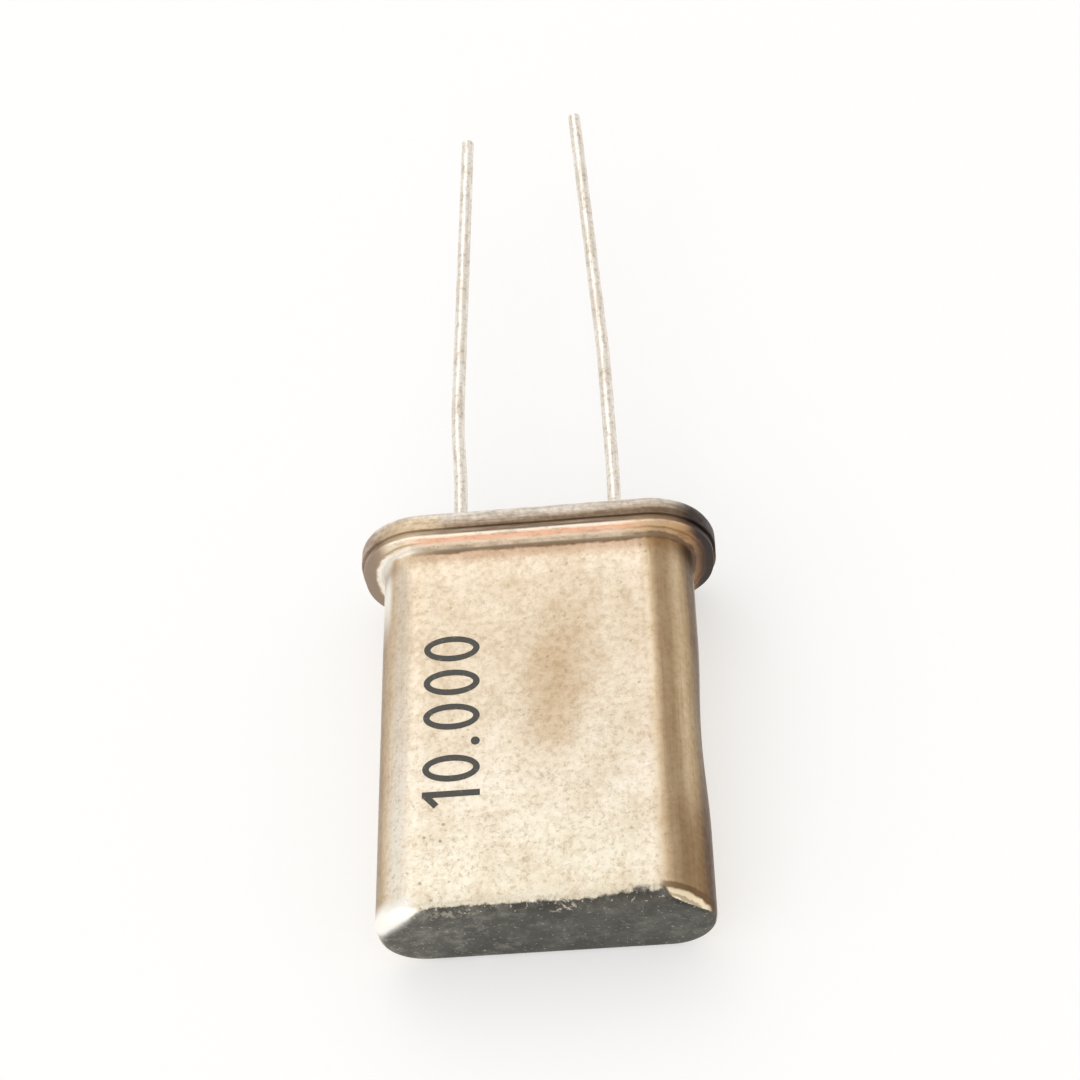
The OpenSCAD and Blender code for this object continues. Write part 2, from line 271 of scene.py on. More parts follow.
# the can: a pale printed face, a browner right side that is partly tarnish and partly painted
# shade, copper on the flange and a closed end painted dark as painted shade
# the flange's brown along x, painted lighter on the left and dark at the right ear as painted light
# and shade
flangeBrownAndShade = {"x": {-5.0: "94806e", -4.75: "a08a75", -4.4: "c6ad8d", -3.6: "dac3a1",
                    -2.7: "a08970", -1.5: "8c755e", 0.0: "7a634c", 1.8: "80684f", 3.2: "a2866a",
                    4.3: "8c6f55", 4.8: "463127", 5.1: "2b1b14"}}
can = {
    "width": 9.5, "thickness": 3.15, "foot": 0.7, "top": 13.1, "wall": 0.25,
    "cornerRadius": 1.35, "endRadius": 0.35, "endFlat": 0.08, "bendRadius": 0.15,
    "flangeReach": 0.67, "lipRadius": 0.03,
    "cornerSteps": 24, "longSteps": 40, "shortSteps": 4,
    "wallSteps": 40, "endSteps": 10, "bendSteps": 8, "lipSteps": 4,
    "dentDepth": 0.1, "dentHeight": 7.2, "dentHalf": 3.2, "dentFromX": 3.9, "dentWidth": 0.85,
    "waveDepth": 0.01, "waveScale": 1.6, "waveSeed": 3.0, "waveInside": 0.5, "waveFromY": 1.6,
    "waveTop": 0.3, "sharpAngle": 40,
    "finish": {
        "shader": {
            "Roughness": [{"grain": (0.3, 0.7, 0.36, 0.46)},
                          {"pastRim": (0.0, 1.0), "z": (12.6, 12.75, 0.0, 0.1)},
                          {"z": (1.03, 0.99, 0.0, -0.05)}],
            "Metallic": [{"z": (1.03, 0.99, 1.0, 0.3)}]},
        "grains": {
            "grain": (6.0, 4.0, 0.65), "cloud": (0.8, 3.0, 0.6),
            "streak": (1.0, 3.0, 0.6, (5, 5, 0.3)), "fleck": (8.0, 3.0, 0.7),
            "drag": (1.0, 2.0, 0.5, (12, 12, 0.5)), "stray": (1.7,),
            "creaseWave": (2.2, 3.0, 0.6), "crinkle": (2.4, 4.0, 0.7), "patch": (0.9,),
            "chink": (3.4, 5.0, 0.75, (0.6, 1, 1)), "scratch": (1.0, 4.0, 0.65, (0.9, 1.5, 9)),
            "cornerWave": (3.0, 3.0, 0.6), "nick": (3.5, 4.0, 0.7), "grit": (12.0, 3.0, 0.7),
            "vein": (1.3, 6.0, 0.75), "speck": (9.0, 2.0, 0.6), "chip": (5.5,),
        },
        "paint": {
            # across the width: brown bands on the rounded sides, partly tarnish and partly painted
            # shade and reflection, darkest at the right edge, with a painted highlight along the
            # left bend
            "colour": {"across": {
                -4.8: "b39e88", -4.6: "ac977e", -4.42: "d3bea1", -4.25: "f6ead5", -4.05: "fffaee",
                -3.7: "fcf4e3", -3.2: "f8f1e0", 2.6: "f8f1e0", 3.15: "fdf5e5", 3.36: "eadac1",
                3.5: "d3bc9c", 3.68: "b59c7e", 3.94: "b39b7b", 4.1: "cfb898", 4.24: "dac4a5",
                4.36: "c6af8e", 4.48: "ad9779", 4.6: "87725c", 4.71: "6e5947", 4.76: "b8a282"}},
            "marks": {
                "back": {"colour": "eee3cd", "where": {"y": (0.2, -0.5)}},
                "along": {"stain": {"z": {1.5: "fbf7f4", 2.4: "e9e1da", 5.4: "ebe4de",
                                          8.9: "f8f5f5", 12.0: "fefdfc"}},
                          "where": {"x": (-4.5, 3.4, 0.2)}},
                "cloud": {"stain": "dfd2be", "where": {"cloud": (0.35, 0.7, 0.0, 0.35)}},
                "grain": {"stain": "ddd1bf", "where": {"grain": (0.4, 0.7, 0.0, 0.4)}},
                # sandy, more so towards the closed end
                "fleck": {"stain": "bcae98", "where": {"fleck": (0.48, 0.72), "x": (-4.5, 3.4, 0.2),
                                                       "z": (3.5, 10.5, 0.25, 0.5)}},
                "rightDrag": {"stain": "a68f74",
                              "where": {"drag": (0.5, 0.7), "x": (3.3, 3.7, 0.0, 0.18)}},
                "leftDrag": {"stain": "a68f74",
                             "where": {"drag": (0.5, 0.7), "x": (-3.4, -4.0, 0.0, 0.08)}},
                "lowSide": {"stain": "c8bcae",
                            "where": {"x": (3.75, 4.1), "y": (-0.2, 0.3), "z": (8.5, 11.5)}},
                # painted highlight on the left wall near the flange
                "glint": {"colour": "fffdf6", "strength": 0.8,
                          "where": {"x": (-4.3, -4.5), "y": (0.2, 0.6), "z": (4.2, 2.2)}},
                "smear": {"stain": "dccbb6", "strength": 0.75,
                          "where": {"offSmear": (1.1, 0.2), "y": (1.3, 1.5)}},
                "pits": {"colour": "806e58", "strength": 0.55, "by": "pits"},
                # painted shade on the right wall next to the flange
                "nearEar": {"colour": "4f3b2e", "strength": 0.5,
                            "where": {"x": (4.3, 4.7), "z": (3.8, 1.6)}},
                # painted shade in the crease where the wall meets the flange
                "crease": {"colour": "79664f",
                           "where": {"creaseHeight": (1.2, 1.1), "x": (-4.2, -2.6, 0.0, 0.8)}},
                # two bright lines with copper between them, a dark root at the wall as painted
                # shade, and ears painted lighter on the left and dark at the right as painted light
                # and shade
                "flange": {
                    "colour": {"outFromWall": {0.08: "8f7c68", 0.14: "f3e6d3", 0.25: "efdfc7",
                                               0.34: "b5a085", 0.42: "f2e2ca", 0.6: "fbeedd",
                                               0.66: "fbeedd"}},
                    "where": {"z": (1.03, 0.99)},
                    "marks": {
                        "copper": {"colour": {"outFromWall": {
                                       0.04: "b5a28c", 0.1: "d8c6ae", 0.17: "f3e6d4",
                                       0.26: "fbe9da", 0.33: "f7d0bb", 0.55: "f7c4a8",
                                       0.6: "fdf0e0", 0.66: "fdf0e0"}},
                                   "where": {"patch": (0.25, 0.42), "x": (-3.9, 3.7, 0.8)}},
                        # painted shade: the flange dims towards the right and goes dark at the
                        # right ear
                        "rightLine": {"stain": {"x": {
                            2.4: "ffffff", 3.3: "ece0d0", 4.2: "e3cdb2", 4.7: "c9a984",
                            5.0: "7d5f48", 5.2: "3a281f"}}},
                        "chink": {"stain": "a89a8a", "where": {"chink": (0.48, 0.66, 0.0, 0.45)}},
                        # painted highlight where the flange wraps the left corner
                        "leftLine": {"colour": "fffdf6", "strength": 0.6,
                                     "where": {"x": (-3.2, -3.9), "outFromWall": (0.3, 0.2)}},
                        "leftEar": {"colour": flangeBrownAndShade,
                                    "where": {"x": (-4.2, -4.8), "outFromWall": (0.22, 0.34)}},
                        # painted shade at the right ear
                        "rightEar": {"colour": flangeBrownAndShade,
                                     "where": {"x": (4.5, 5.0), "outFromWall": (0.36, 0.5)}},
                        # the edge is streaky, and painted paler beside the header and away from the
                        # right end, as painted light
                        "edge": {
                            "colour": flangeBrownAndShade, "where": {"z": (0.93, 0.86)},
                            "marks": {
                                "pale": {"colour": "b3a08a", "strength": 0.75,
                                         "where": {"edgeHeight": (0.94, 0.78), "x": (3.8, 2.0)}},
                                "streak": {"stain": "a89a8a",
                                           "where": {"scratch": (0.35, 0.65, 0.0, 0.6)}},
                            }},
                    }},
                # painted highlight on the left corner by the closed end
                "leftCorner": {"colour": "fffdf6",
                               "where": {"x": (-3.3, -3.8), "y": (-0.2, 0.4), "z": (12.35, 12.85)}},
                # a cream strip painted as a highlight on the right corner, between brown lines
                "cornerLine": {"colour": "6a4f38", "strength": 0.7,
                               "where": {"cornerHeight": (12.5, 12.8, 0.08), "x": (3.2, 4.7, 0.25),
                                         "y": (0.1, 0.5)}},
                "rightCorner": {"colour": "fbeacb", "strength": 0.9,
                                "where": {"cornerHeight": (12.72, 12.8), "x": (3.2, 4.7, 0.25),
                                          "y": (0.1, 0.5)}},
                "cornerStreak": {"colour": "6a4f38", "strength": 0.55,
                                 "where": {"cornerHeight": (12.86, 12.96, 0.04),
                                           "x": (3.2, 4.7, 0.25), "y": (0.1, 0.5)}},
                # the closed end is painted dark grey as painted shade in place of a dark
                # reflection, lighter towards the left as painted light, and darker along its rim;
                # veins, specks and chips are its own
                "end": {
                    "colour": "5c5a53", "where": {"pastRim": (0.0, 1.0), "z": (12.6, 12.75)},
                    "level": {"cloud": (0.35, 0.65, 0.82, 1.12), "grit": (0.35, 0.65, 0.9, 1.1),
                              "x": (-1.5, -3.5, 1.0, 1.12), "inFromWall": (0.12, 0.26, 0.68, 1.0)},
                    "marks": {
                        "vein": {"colour": "918f86",
                                 "where": {"vein": (0.46, 0.7, 0.0, 0.6),
                                           "x": (0.5, -3.0, 0.7, 1.45)}},
                        "speck": {"colour": "c9c5ba", "where": {"speck": (0.62, 0.72, 0.0, 0.55)}},
                        "chips": {"colour": "efe4d2", "strength": 0.55,
                                  "where": {"chip": (0.5, 0.62), "inFromWall": (0.04, 0.45, 0.15),
                                            "x": (0.1, 1.1, 0.3), "y": (0.0, 0.4)}},
                        "leftChips": {"colour": "efe4d2", "strength": 0.2475,
                                      "where": {"chip": (0.5, 0.62),
                                                "inFromWall": (0.04, 0.45, 0.15),
                                                "x": (-3.3, -1.6, 0.5), "y": (0.0, 0.4)}},
                        # painted highlight at the left corner of the closed end
                        "glow": {"colour": "fffdf6", "strength": 0.6,
                                 "where": {"inFromWall": (0.4, 0.05), "x": (-3.3, -3.9),
                                           "y": (-0.2, 0.4)}},
                    }},
            }},
        "relief": {"grain": 1.0, "cloud": 2.0, "pits": -2.0}, "reliefDepth": 0.006,
    },
    # how measureCan measures: what shakes each axis, and where the marks sit
    "places": {
        "waver": 0.14, "crinkle": 0.2, "scratch": 0.12, "nick": 0.12,
        "smear": {"x": 1.25, "z": 5.9, "slant": 0.12, "narrow": 0.75, "short": 0.3, "ragged": 2.2},
        # thickest near the closed end on the left
        "pits": {"scale": 3.2, "size": (0.2, 0.08),
                 "thick": {"x": (-4.0, -2.2, 0.5), "z": (9.4, 10.2)},
                 "stray": {"stray": (0.52, 0.6, 0.0, 0.5)}},
        "crease": {"wave": 0.25, "rise": {"x": (2.5, 4.0, 0.0, 0.06)}},
        "corner": {"wave": 0.16, "slant": -0.2, "from": 3.4},
        # the painted dark of the closed end stops further in at the front corners, and laps over at
        # the right
        "cut": {"y": (-0.2, 0.4), "x": (-1.0, 1.0, -0.3, -0.22)},
        "lap": {"y": (-0.2, 0.4), "x": (0.8, 3.2, 0.0, 0.045)}, "lapEnd": {"x": (3.75, 3.35)},
        "rimStart": 0.02, "rimEnd": {"x": (-3.0, -3.8, 0.06, 0.22)},
    },
}
cornerX = can["width"] / 2 - can["cornerRadius"]  # the middle of each rounded corner
cornerY = can["thickness"] / 2 - can["cornerRadius"]


def measureCan(tree, space, axes):
    places = can["places"]
    # how far outside the wall, and how far round a corner, from 0 to 1
    past = [calc(tree, "MAXIMUM", total(tree, calc(tree, "ABSOLUTE", axes[name]), -middle), 0.0)
            for name, middle in (("x", cornerX), ("y", cornerY))]
    squared = total(tree, product(tree, past[0], past[0]), product(tree, past[1], past[1]))
    outside = total(tree, calc(tree, "SQRT", squared), -can["cornerRadius"])
    neverZero = calc(tree, "MAXIMUM", squared, 0.0001)
    turned = calc(tree, "DIVIDE", product(tree, past[0], past[1], 2.0), neverZero)

    axes["across"] = shaken(tree, axes["x"], axes["streak"], places["waver"])
    axes["outFromWall"] = shaken(tree, outside, axes["crinkle"], places["crinkle"])
    axes["edgeHeight"] = total(tree, axes["z"], product(tree, axes["scratch"], places["scratch"]))
    crease, corner = places["crease"], places["corner"]
    axes["creaseHeight"] = total(tree, shaken(tree, axes["z"], axes["creaseWave"], crease["wave"]),
                                 zone(tree, axes, crease["rise"]))
    axes["cornerHeight"] = total(tree, shaken(tree, axes["z"], axes["cornerWave"], corner["wave"]),
                                 product(tree, total(tree, axes["x"], -corner["from"]),
                                         corner["slant"]))

    smear = places["smear"]
    slanted = product(tree, axes["z"], smear["slant"])
    offX = product(tree, total(tree, axes["x"], slanted, -smear["x"]), smear["narrow"])
    offZ = product(tree, total(tree, axes["z"], -smear["z"]), smear["short"])
    off = calc(tree, "SQRT", total(tree, product(tree, offX, offX), product(tree, offZ, offZ)))
    axes["offSmear"] = shaken(tree, off, axes["cloud"], smear["ragged"])

    pits = places["pits"]
    cells = addNode(tree, "TexVoronoi", {"Vector": space, "Scale": pits["scale"],
                                         "Randomness": 1.0})
    often = calc(tree, "MAXIMUM", zone(tree, axes, pits["thick"]), zone(tree, axes, pits["stray"]))
    axes["pits"] = product(tree, fade(tree, cells.outputs["Distance"], *pits["size"]), often)

    axes["inFromWall"] = total(
        tree, shaken(tree, product(tree, outside, -1.0), axes["nick"], places["nick"]),
        product(tree, turned, zone(tree, axes, places["cut"])),
        product(tree, zone(tree, axes, places["lap"]), zone(tree, axes, places["lapEnd"])))
    start = places["rimStart"]
    axes["pastRim"] = calc(tree, "DIVIDE", total(tree, axes["inFromWall"], -start),
                           total(tree, zone(tree, axes, places["rimEnd"]), -start))


def makeCan():
    mesh = bmesh.new()
    outer = can["width"] / 2
    inner = outer - can["wall"]
    edge, edgeZ = outer - can["endRadius"], can["top"] - can["endRadius"]
    bendX, bendZ = outer + can["bendRadius"], can["foot"] + can["wall"] + can["bendRadius"]
    lip = can["lipRadius"]
    lipX, flangeTop = outer + can["flangeReach"] - lip, can["foot"] + can["wall"]
    # from the outside of the closed end, down the wall, round the flange and up the inside
    at = mesh.verts.new((edge - can["endFlat"], cornerY, can["top"]))
    at = drawPoint(mesh, at, edge, can["top"])
    at = drawBend(mesh, at, edge, edgeZ, 90, can["endSteps"])
    at = drawLine(mesh, at, outer, bendZ, can["wallSteps"])
    at = drawBend(mesh, at, bendX, bendZ, -90, can["bendSteps"])
    at = drawPoint(mesh, at, lipX, flangeTop)
    at = drawBend(mesh, at, lipX, flangeTop - lip, 90, can["lipSteps"])
    at = drawPoint(mesh, at, lipX + lip, can["foot"] + lip)
    at = drawBend(mesh, at, lipX, can["foot"] + lip, 90, can["lipSteps"])
    at = drawPoint(mesh, at, bendX, can["foot"])
    at = drawBend(mesh, at, bendX, bendZ, 90, can["bendSteps"])
    at = drawLine(mesh, at, inner, edgeZ, can["wallSteps"])
    at = drawBend(mesh, at, edge, edgeZ, -90, can["endSteps"])
    at = drawPoint(mesh, at, edge - can["endFlat"], at.co.z)
    innerTop = at.co.z
    sweepRound(mesh)
    for height in (can["top"], innerTop):
        bmesh.ops.edgeloop_fill(mesh, edges=openEdges(mesh, height))
    for v in mesh.verts:
        if v.co.z > can["foot"] + can["waveTop"]:
            # the right side is pressed in a little halfway up
            hollow = max(0.0, 1 - ((v.co.z - can["dentHeight"]) / can["dentHalf"]) ** 2) ** 2
            right = max(0.0, (v.co.x - can["dentFromX"]) / can["dentWidth"])
            v.co.x -= can["dentDepth"] * hollow * right
        elif abs(v.co.x) > outer - can["waveInside"] or abs(v.co.y) > can["waveFromY"]:
            # the flange is rolled out a little unevenly
            out = Vector((v.co.x, v.co.y, 0)).normalized()
            v.co -= out * can["waveDepth"] * (1 + ripple(v.co, can["waveScale"], can["waveSeed"]))
    finishPiece("sealed_can", mesh, "can", makeMaterial("can_metal", can["finish"], measureCan),
                can["sharpAngle"])


# the header: pale at its board side where its rounded edge is painted as if lit, brown towards the
# weld, partly its own colour and partly painted shade, and painted dark at the right ear as painted
# shade
header = {
    "rim": 0.7, "rimReach": 0.75, "edgeRadius": 0.35, "baseFlat": 0.4, "rimBreak": 0.01,
    "bossTop": 1.15, "bossGap": 0.05, "bossChamfer": 0.12, "bossFlat": 0.1, "holeRadius": 0.75,
    "edgeSteps": 8, "rimSteps": 3, "sharpAngle": 40,
    "waveDepth": 0.025, "waveScale": 1.3, "waveSeed": 8.0, "waveFromX": 5.0, "waveFromY": 1.9,
    "finish": {
        "shader": {"Metallic": 0.55, "Roughness": [{"grain": (0.3, 0.7, 0.4, 0.55)}]},
        "grains": {"grain": (6.0, 3.0, 0.6), "streak": (1.0, 4.0, 0.65, (0.7, 1.5, 7))},
        "paint": {
            "colour": {"height": {-0.05: "faf7f2", 0.19: "efe8de", 0.38: "dbd0c3", 0.51: "bcaa97",
                                  0.62: "937d67", 0.74: "836d57", 1.2: "9a8a76"}},
            "marks": {
                # painted light: the band below the weld paler towards the left
                "pale": {"colour": "b7a18a", "strength": 0.6,
                         "where": {"x": (-0.5, -3.0), "z": (0.4, 0.6)}},
                # painted light on the rounded edge at the left
                "leftTop": {"colour": "ecd6b4", "strength": 0.7,
                            "where": {"x": (-5.0, -2.4, 0.8), "z": (0.1, 0.35)}},
                # painted shade at the right ear
                "rightEar": {"colour": "30221b",
                             "where": {"x": (4.1, 4.9), "y": (-0.6, 0.5, 0.25, 0.97),
                                       "z": (0.02, 0.14, 0.15, 1.0)}},
                "leftEar": {"colour": "b29d8a",
                            "where": {"x": (-4.7, -5.1, 0.0, 0.95), "z": (0.02, 0.14, 0.15, 1.0)}},
                "streak": {"stain": "b3a695", "where": {"streak": (0.35, 0.65, 0.0, 0.35)}},
                "grain": {"stain": "b8ab99", "where": {"grain": (0.4, 0.65, 0.0, 0.35)}},
            }},
        "relief": {"grain": 1.0, "streak": 2.0}, "reliefDepth": 0.008,
    },
    "places": {"waver": 0.3, "rise": {"x": (0.5, 3.5, 0.0, 0.1)}},
}


def measureHeader(tree, space, axes):
    axes["height"] = total(tree, shaken(tree, axes["z"], axes["streak"], header["places"]["waver"]),
                           zone(tree, axes, header["places"]["rise"]))


def makeHeader():
    mesh = bmesh.new()
    rimX, rimZ = can["width"] / 2 + header["rimReach"], header["rim"]
    bossX, bossZ = can["width"] / 2 - can["wall"] - header["bossGap"], header["bossTop"]
    edge, chamfer, rimBreak = header["edgeRadius"], header["bossChamfer"], header["rimBreak"]
    # from the board side, up the rim, in to the boss and up it
    at = mesh.verts.new((rimX - edge - header["baseFlat"], cornerY, 0))
    at = drawPoint(mesh, at, rimX - edge, 0)
    at = drawBend(mesh, at, rimX - edge, edge, -90, header["edgeSteps"])
    at = drawLine(mesh, at, rimX, rimZ - rimBreak, header["rimSteps"])
    at = drawPoint(mesh, at, rimX - rimBreak, rimZ)
    at = drawPoint(mesh, at, bossX, rimZ)
    at = drawPoint(mesh, at, bossX, bossZ - chamfer)
    at = drawPoint(mesh, at, bossX - chamfer, bossZ)
    at = drawPoint(mesh, at, bossX - chamfer - header["bossFlat"], bossZ)
    sweepRound(mesh)
    for side in (-1, 1):
        place = Matrix.Translation((side * lead["pitch"] / 2, 0, 0))
        ring = bmesh.ops.create_circle(mesh, radius=header["holeRadius"], segments=seal["steps"],
                                       matrix=place)
        pullOut(mesh, list({e for v in ring["verts"] for e in v.link_edges}), (0, 0, bossZ))
    for height in (0, bossZ):
        bmesh.ops.triangle_fill(mesh, use_beauty=True, edges=openEdges(mesh, height))
    for v in mesh.verts:
        # the rim is a little uneven
        if abs(v.co.x) > header["waveFromX"] or abs(v.co.y) > header["waveFromY"]:
            level = Vector((v.co.x, v.co.y, 0))
            wave = 0.5 + 0.5 * ripple(level, header["waveScale"], header["waveSeed"])
            v.co -= level.normalized() * header["waveDepth"] * wave
    finishPiece("welded_header", mesh, "header",
                makeMaterial("header_metal", header["finish"], measureHeader), header["sharpAngle"])


# the glass climbs the wire in a thick bead on the board side and a thin one inside
seal = {
    "recess": 0.1, "climb": 0.16, "rise": 0.08, "angle": 50, "foot": 0.06, "riseSteps": 6,
    "rimIn": 0.05, "rimDown": 0.02, "innerFoot": 0.1, "innerRise": 0.08, "steps": 64,
    "finish": {
        "shader": {"Metallic": 0.0, "Roughness": 0.12, "IOR": 1.52, "Coat Weight": 0.6},
        "grains": {"cloud": (3.0, 3.0, 0.6)},
        "paint": {"colour": "26302b",
                  "marks": {"cloud": {"colour": "3d4a43", "where": {"cloud": (0.3, 0.7)}}}},
        "relief": {"cloud": 1.0}, "reliefDepth": 0.01,
    },
}


def makeSeal(name, side, material):
    mesh = bmesh.new()
    wire, rim = lead["radius"], header["holeRadius"]
    low, high = seal["recess"], header["bossTop"] - seal["recess"]
    bead = wire + seal["climb"]
    at = mesh.verts.new((wire, 0, low - seal["rise"]))
    at = drawBend(mesh, at, bead, low - seal["rise"], -seal["angle"], seal["riseSteps"])
    at = drawPoint(mesh, at, bead + seal["foot"], low)
    at = drawPoint(mesh, at, rim - seal["rimIn"], low)
    at = drawPoint(mesh, at, rim, low - seal["rimDown"])
    at = drawPoint(mesh, at, rim, high + seal["rimDown"])
    at = drawPoint(mesh, at, rim - seal["rimIn"], high)
    at = drawPoint(mesh, at, wire + seal["innerFoot"], high)
    at = drawPoint(mesh, at, wire, high + seal["innerRise"])
    bmesh.ops.spin(mesh, geom=mesh.verts[:] + mesh.edges[:], cent=(0, 0, 0), axis=(0, 0, 1),
                   angle=radians(360), steps=seal["steps"], use_merge=True)
    bmesh.ops.translate(mesh, verts=mesh.verts, vec=(side * lead["pitch"] / 2, 0, 0))
    finishPiece(name + "_seal", mesh, name + "_glass_seal", material)


# the leads: tinned wire with a flat head inside the can and two slight bends outside
lead = {
    "pitch": 4.88, "radius": 0.215, "bendRadius": 25, "bendSteps": 12, "stub": 2.0, "bevel": 0.06,
    "headRadius": 0.4, "headThickness": 0.15, "headTop": 1.75, "sides": 40,
    "wires": {
        "left": {"side": -1, "length": 18.1, "middle": 0.8, "bends": (-3.0, 4.4)},
        "right": {"side": 1, "length": 19.0, "middle": 4.5, "bends": (1.5, 1.9)},
    },
    "finish": {
        "shader": {"Metallic": 1.0, "Roughness": [{"drawn": (0.3, 0.7, 0.34, 0.46)}]},
        "grains": {"drawn": (2.0, 3.0, 0.6, (12, 12, 0.4)), "cloud": (1.1, 3.0, 0.6),
                   "spots": (7.0, 3.0, 0.7)},
        "paint": {
            "colour": "f6f0e7",
            "marks": {
                "cloud": {"colour": "e6ddd1", "where": {"cloud": (0.35, 0.7)}},
                "spots": {"stain": "bdb3a6", "where": {"spots": (0.48, 0.66, 0.0, 0.5)}},
                "drawn": {"stain": "c9c3ba", "where": {"drawn": (0.5, 0.7, 0.0, 0.5)}},
            }},
        "relief": {"drawn": 1.0}, "reliefDepth": 0.003,
    },
}


def makeLead(name, wire, material):
    mesh = bmesh.new()
    centre = Vector((0, 0, lead["headTop"]))
    verts = bmesh.ops.create_circle(mesh, radius=lead["headRadius"], segments=lead["sides"],
                                    matrix=Matrix.Translation(centre))["verts"]
    loop = verts + list({e for v in verts for e in v.link_edges})
    bmesh.ops.edgeloop_fill(mesh, edges=onlyOf(bmesh.types.BMEdge, loop))
    heading = 0.0

    def carryOn(distance, scale=1.0):
        nonlocal loop, centre
        ahead = Vector((sin(heading), 0, -cos(heading))) * distance
        loop = pullOut(mesh, loop, ahead)
        centre = centre + ahead
        bmesh.ops.scale(mesh, verts=onlyOf(bmesh.types.BMVert, loop), vec=(scale,) * 3,
                        space=Matrix.Translation(-centre))

    carryOn(lead["headThickness"])
    carryOn(0, lead["radius"] / lead["headRadius"])
    carryOn(lead["headTop"] - lead["headThickness"] + lead["stub"])
    bends = [radians(b) for b in wire["bends"]]
    arcs = sum(abs(b) for b in bends) * lead["bendRadius"]
    straight = wire["length"] - lead["stub"] - arcs - lead["bevel"]
    for bend, run in zip(bends, (wire["middle"], straight - wire["middle"])):
        side = 1 if bend > 0 else -1
        hub = centre + Vector((cos(heading), 0, sin(heading))) * lead["bendRadius"] * side
        loop = bmesh.ops.spin(mesh, geom=loop, cent=hub, axis=(0, 1, 0), angle=-bend,
                              steps=lead["bendSteps"], use_merge=False)["geom_last"]
        centre = hub + Matrix.Rotation(-bend, 3, "Y") @ (centre - hub)
        heading += bend
        carryOn(run)
    carryOn(lead["bevel"], 1 - lead["bevel"] / lead["radius"])
    bmesh.ops.edgeloop_fill(mesh, edges=onlyOf(bmesh.types.BMEdge, loop))
    mesh.transform(Matrix.Rotation(radians(180) if wire["side"] > 0 else 0, 4, "Z"))
    bmesh.ops.translate(mesh, verts=mesh.verts, vec=(wire["side"] * lead["pitch"] / 2, 0, 0))
    finishPiece(name + "_wire", mesh, name + "_lead", material)


# the printed figures: one row, read from the closed end towards the leads
figures = {
    "text": "10.000", "height": 1.65, "stroke": 0.19, "gap": 0.3, "start": 9.8, "baseline": -1.65,
    "film": 0.01,
    "zero": {"width": 0.86, "sides": 48},
    "one": {"width": 0.45, "flagLength": 0.5, "flagTurn": -48, "flagIn": 0.28, "flagDown": 0.24,
            "flagLift": 0.0005},
    "dot": {"width": 0.24, "radius": 0.13, "sides": 24},
    "finish": {
        "shader": {"Metallic": 0.0, "Roughness": 0.55},
        "grains": {"worn": (8.0, 4.0, 0.7)},
        "paint": {"colour": "46443f",
                  "marks": {"worn": {"colour": "8d8270",
                                     "where": {"worn": (0.55, 0.75, 0.0, 0.6)}}}},
        "relief": {"worn": 1.0}, "reliefDepth": 0.004,
    },
}


def drawZero(mesh, at):
    half, tall, stroke = figures["zero"]["width"] / 2, figures["height"], figures["stroke"]
    ring = bmesh.ops.create_circle(mesh, radius=1, segments=figures["zero"]["sides"])["verts"]
    bmesh.ops.scale(mesh, verts=ring, vec=(half, tall / 2, 1))
    made = pullOut(mesh, list({e for v in ring for e in v.link_edges}), (0, 0, 0))
    inside = onlyOf(bmesh.types.BMVert, made)
    bmesh.ops.scale(mesh, verts=inside, vec=(1 - stroke / half, 1 - 2 * stroke / tall, 1))
    bmesh.ops.translate(mesh, verts=ring + inside, vec=(at + half, tall / 2, 0))


def drawOne(mesh, at):
    one, tall, stroke = figures["one"], figures["height"], figures["stroke"]
    right = at + one["width"]
    bar = bmesh.ops.create_grid(mesh, x_segments=1, y_segments=6, size=0.5)["verts"]
    bmesh.ops.scale(mesh, verts=bar, vec=(stroke, tall, 1))
    bmesh.ops.translate(mesh, verts=bar, vec=(right - stroke / 2, tall / 2, 0))
    flag = bmesh.ops.create_grid(mesh, x_segments=1, y_segments=3, size=0.5)["verts"]
    bmesh.ops.scale(mesh, verts=flag, vec=(stroke, one["flagLength"], 1))
    bmesh.ops.rotate(mesh, verts=flag, matrix=Matrix.Rotation(radians(one["flagTurn"]), 3, "Z"))
    bmesh.ops.translate(mesh, verts=flag, vec=(right - one["flagIn"], tall - one["flagDown"],
                                               one["flagLift"]))


def drawDot(mesh, at):
    dot = figures["dot"]
    disc = bmesh.ops.create_circle(mesh, radius=dot["radius"], segments=dot["sides"],
                                   cap_ends=True)["verts"]
    bmesh.ops.translate(mesh, verts=disc, vec=(at + dot["width"] / 2, dot["radius"], 0))


def makeFigures(material):
    mesh = bmesh.new()
    at = 0.0
    drawSign = {"0": ("zero", drawZero), "1": ("one", drawOne), ".": ("dot", drawDot)}
    for sign in figures["text"]:
        kind, draw = drawSign[sign]
        draw(mesh, at)
        at += figures[kind]["width"] + figures["gap"]
    film = bmesh.ops.extrude_face_region(mesh, geom=mesh.faces[:], use_keep_orig=True)["geom"]
    bmesh.ops.translate(mesh, verts=onlyOf(bmesh.types.BMVert, film), vec=(0, 0, figures["film"]))
    # x runs towards the leads, y towards the left side, z out of the face
    onFace = Matrix(((0, -1, 0, figures["baseline"]), (0, 0, 1, can["thickness"] / 2),
                     (-1, 0, 0, figures["start"]), (0, 0, 0, 1)))
    mesh.transform(onFace)
    finishPiece("printed_figures", mesh, None, material)


